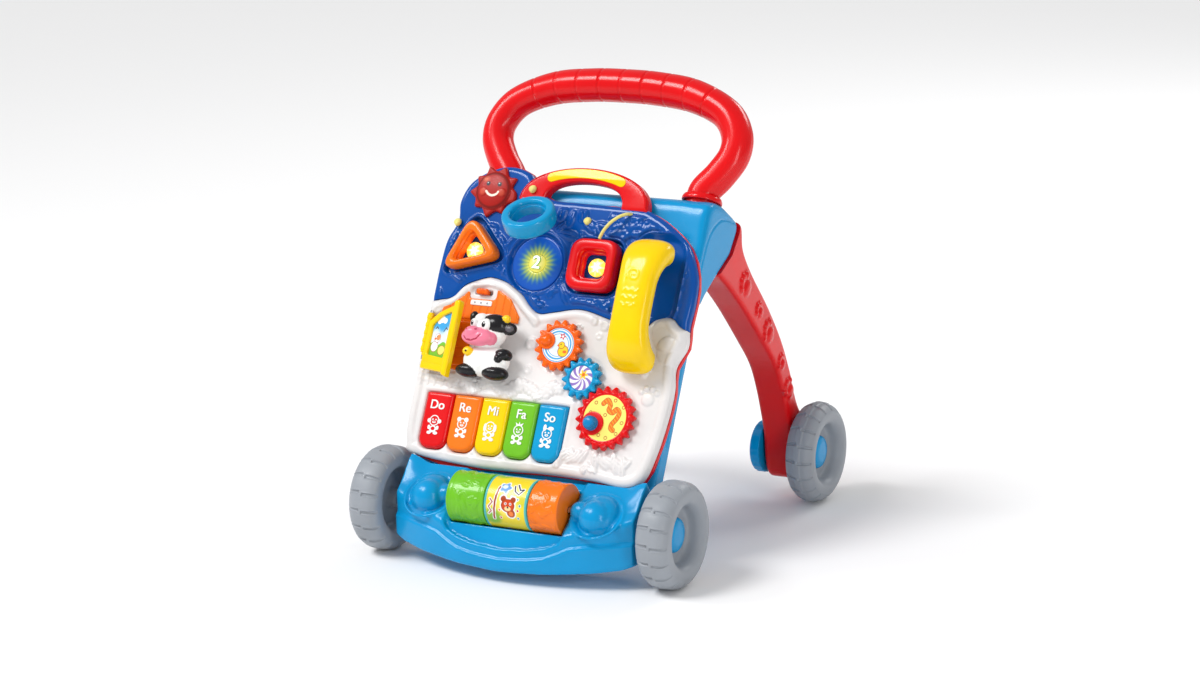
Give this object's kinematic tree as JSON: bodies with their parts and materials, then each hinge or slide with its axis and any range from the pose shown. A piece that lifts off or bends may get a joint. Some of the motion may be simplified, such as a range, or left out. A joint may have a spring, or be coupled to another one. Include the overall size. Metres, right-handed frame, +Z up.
{
  "type": "baby walker",
  "caption": "Push-along baby walker with a leaning lift-off activity panel, piano keys, meshing gears, rollers, toy phone, shape rings and a looped push handle on wheels.",
  "frame": {"origin": "on the floor, at the middle of the walker's footprint", "axes": "+Z up; +X to the right of someone facing the activity panel; the panel faces -Y and the child walks on the +Y side"},
  "size_m": [0.35, 0.432, 0.4528],
  "materials": {
    "sky_blue_plastic": "smooth gloss moulding",
    "red_plastic": "smooth gloss moulding",
    "dark_blue_plastic": "smooth gloss moulding with embossed pictures",
    "white_plastic": "smooth gloss moulding with embossed pictures",
    "yellow_plastic": "smooth gloss moulding",
    "orange_plastic": "smooth gloss moulding",
    "green_plastic": "smooth gloss moulding",
    "sun_plastic": "translucent dark red lens",
    "light_plastic": "clear lens over a warm light",
    "wheel_grey": "satin grey with short grooves",
    "cow_white": "white with printed patches",
    "cord": "cream braided cord",
    "steel": "drawn rod",
    "board_green": "lacquered circuit board",
    "black_plastic": "dark moulding",
    "membrane_rubber": "moulded silicone",
    "battery_shell": "plain printed metal"
  },
  "bodies": {
    "frame": {"frame_front_shell": "sky_blue_plastic", "frame_rear_shell": "sky_blue_plastic", "rear_leg_left": "red_plastic", "rear_leg_right": "red_plastic", "leg_cover_left": "red_plastic", "leg_cover_right": "red_plastic", "handle_front_shell": "red_plastic", "handle_rear_shell": "red_plastic", "handle_collar_left": "red_plastic", "handle_collar_right": "red_plastic", "front_axle": "steel", "rear_axle_left": "steel", "rear_axle_right": "steel", "roller_axle": "steel"},
    "front_left_wheel": {"front_wheel_left": "wheel_grey", "front_hub_cap_left": "sky_blue_plastic"},
    "front_right_wheel": {"front_wheel_right": "wheel_grey", "front_hub_cap_right": "sky_blue_plastic"},
    "rear_left_wheel": {"rear_wheel_left": "wheel_grey", "rear_hub_cap_left": "sky_blue_plastic"},
    "rear_right_wheel": {"rear_wheel_right": "wheel_grey", "rear_hub_cap_right": "sky_blue_plastic"},
    "left_dial": {"speed_dial_left": "sky_blue_plastic"},
    "right_dial": {"speed_dial_right": "sky_blue_plastic"},
    "green_roller": {"roller_green": "green_plastic"},
    "picture_roller": {"roller_picture": "yellow_plastic"},
    "orange_roller": {"roller_orange": "orange_plastic"},
    "panel": {"panel_back_shell": "red_plastic", "white_face": "white_plastic", "blue_face": "dark_blue_plastic", "carry_handle": "red_plastic", "sun_lens": "sun_plastic", "barn_front": "orange_plastic", "cow": "cow_white", "door_pin": "steel", "battery_door": "red_plastic", "circuit_board": "board_green", "speaker": "black_plastic", "battery_1": "battery_shell", "battery_2": "battery_shell", "key_membrane": "membrane_rubber", "ring_cord": "cord"},
    "red_key": {"key_red": "red_plastic"},
    "orange_key": {"key_orange": "orange_plastic"},
    "yellow_key": {"key_yellow": "yellow_plastic"},
    "green_key": {"key_green": "green_plastic"},
    "blue_key": {"key_blue": "sky_blue_plastic"},
    "red_gear": {"gear_red": "red_plastic", "crank_knob": "sky_blue_plastic"},
    "blue_gear": {"gear_blue": "sky_blue_plastic"},
    "orange_gear": {"gear_orange": "orange_plastic"},
    "door": {"barn_door": "yellow_plastic"},
    "switch": {"power_switch": "orange_plastic"},
    "round_light": {"light_button_round": "light_plastic"},
    "square_light": {"light_button_square": "light_plastic"},
    "triangle_light": {"light_button_triangle": "light_plastic"},
    "triangle_ring": {"ring_triangle": "orange_plastic"},
    "square_ring": {"ring_square": "red_plastic"},
    "round_ring": {"ring_round": "sky_blue_plastic"},
    "phone": {"phone_handset": "yellow_plastic"}
  },
  "joints": [
    {"name": "panel_lift", "type": "slide", "parent": "frame", "child": "panel", "axis": [0, -0.891, 0.454], "range_m": [0, 0.08]},
    {"name": "front_left_spin", "type": "hinge", "parent": "frame", "child": "front_left_wheel", "pos_m": [-0.158, -0.156, 0.052], "axis": [1, 0, 0], "continuous": true},
    {"name": "front_right_spin", "type": "hinge", "parent": "frame", "child": "front_right_wheel", "pos_m": [0.158, -0.156, 0.052], "axis": [1, 0, 0], "continuous": true},
    {"name": "rear_left_spin", "type": "hinge", "parent": "frame", "child": "rear_left_wheel", "pos_m": [-0.16, 0.164, 0.052], "axis": [1, 0, 0], "continuous": true},
    {"name": "rear_right_spin", "type": "hinge", "parent": "frame", "child": "rear_right_wheel", "pos_m": [0.16, 0.164, 0.052], "axis": [1, 0, 0], "continuous": true},
    {"name": "left_dial_turn", "type": "hinge", "parent": "frame", "child": "left_dial", "pos_m": [-0.1018, 0.164, 0.052], "axis": [1, 0, 0], "range_deg": [0, 30]},
    {"name": "right_dial_turn", "type": "hinge", "parent": "frame", "child": "right_dial", "pos_m": [0.1018, 0.164, 0.052], "axis": [1, 0, 0], "range_deg": [0, 30]},
    {"name": "green_roll", "type": "hinge", "parent": "frame", "child": "green_roller", "pos_m": [-0.04025, -0.18, 0.071], "axis": [1, 0, 0], "continuous": true},
    {"name": "picture_roll", "type": "hinge", "parent": "frame", "child": "picture_roller", "pos_m": [0.0048, -0.18, 0.071], "axis": [1, 0, 0], "continuous": true},
    {"name": "orange_roll", "type": "hinge", "parent": "frame", "child": "orange_roller", "pos_m": [0.04485, -0.18, 0.071], "axis": [1, 0, 0], "continuous": true},
    {"name": "red_key_press", "type": "hinge", "parent": "panel", "child": "red_key", "pos_m": [-0.1112, -0.12223, 0.15459], "axis": [1, 0, 0], "range_deg": [0, 3], "stiffness_Nm_per_rad": 0.9, "springref_deg": -2.86},
    {"name": "orange_key_press", "type": "hinge", "parent": "panel", "child": "orange_key", "pos_m": [-0.0796, -0.12223, 0.15459], "axis": [1, 0, 0], "range_deg": [0, 3], "stiffness_Nm_per_rad": 0.9, "springref_deg": -2.86},
    {"name": "yellow_key_press", "type": "hinge", "parent": "panel", "child": "yellow_key", "pos_m": [-0.048, -0.12223, 0.15459], "axis": [1, 0, 0], "range_deg": [0, 3], "stiffness_Nm_per_rad": 0.9, "springref_deg": -2.86},
    {"name": "green_key_press", "type": "hinge", "parent": "panel", "child": "green_key", "pos_m": [-0.0164, -0.12223, 0.15459], "axis": [1, 0, 0], "range_deg": [0, 3], "stiffness_Nm_per_rad": 0.9, "springref_deg": -2.86},
    {"name": "blue_key_press", "type": "hinge", "parent": "panel", "child": "blue_key", "pos_m": [0.0152, -0.12223, 0.15459], "axis": [1, 0, 0], "range_deg": [0, 3], "stiffness_Nm_per_rad": 0.9, "springref_deg": -2.86},
    {"name": "red_gear_spin", "type": "hinge", "parent": "panel", "child": "red_gear", "pos_m": [0.075, -0.12564, 0.14791], "axis": [0, -0.891, 0.454], "continuous": true},
    {"name": "blue_gear_spin", "type": "hinge", "parent": "panel", "child": "blue_gear", "pos_m": [0.04124, -0.1092, 0.18016], "axis": [0, -0.891, 0.454], "continuous": true},
    {"name": "orange_gear_spin", "type": "hinge", "parent": "panel", "child": "orange_gear", "pos_m": [0.00943, -0.09573, 0.2066], "axis": [0, -0.891, 0.454], "continuous": true},
    {"name": "door_swing", "type": "hinge", "parent": "panel", "child": "door", "pos_m": [-0.139, -0.10149, 0.20631], "axis": [0, 0.454, 0.891], "range_deg": [-99, 16]},
    {"name": "switch_slide", "type": "slide", "parent": "panel", "child": "switch", "axis": [1, 0, 0], "range_m": [-0.005, 0.005]},
    {"name": "round_light_press", "type": "slide", "parent": "panel", "child": "round_light", "axis": [0, 0.891, -0.454], "range_m": [0, 0.0015], "stiffness_N_per_m": 400, "springref_m": -0.0005},
    {"name": "square_light_press", "type": "slide", "parent": "panel", "child": "square_light", "axis": [0, 0.891, -0.454], "range_m": [0, 0.0015], "stiffness_N_per_m": 400, "springref_m": -0.0005},
    {"name": "triangle_light_press", "type": "slide", "parent": "panel", "child": "triangle_light", "axis": [0, 0.891, -0.454], "range_m": [0, 0.0015], "stiffness_N_per_m": 400, "springref_m": -0.0005},
    {"name": "triangle_ring_lift", "type": "slide", "parent": "panel", "child": "triangle_ring", "axis": [0, -0.891, 0.454], "range_m": [0, 0.05]},
    {"name": "square_ring_lift", "type": "slide", "parent": "panel", "child": "square_ring", "axis": [0, -0.891, 0.454], "range_m": [0, 0.05]},
    {"name": "round_ring_lift", "type": "slide", "parent": "panel", "child": "round_ring", "axis": [0, -0.891, 0.454], "range_m": [0, 0.05]},
    {"name": "phone_lift", "type": "slide", "parent": "panel", "child": "phone", "axis": [0, -0.891, 0.454], "range_m": [0, 0.06]}
  ],
  "couplings": [
    {"joint": "blue_gear_spin", "follows": "red_gear_spin", "ratio": -1.5385},
    {"joint": "orange_gear_spin", "follows": "red_gear_spin", "ratio": 1.25}
  ]
}
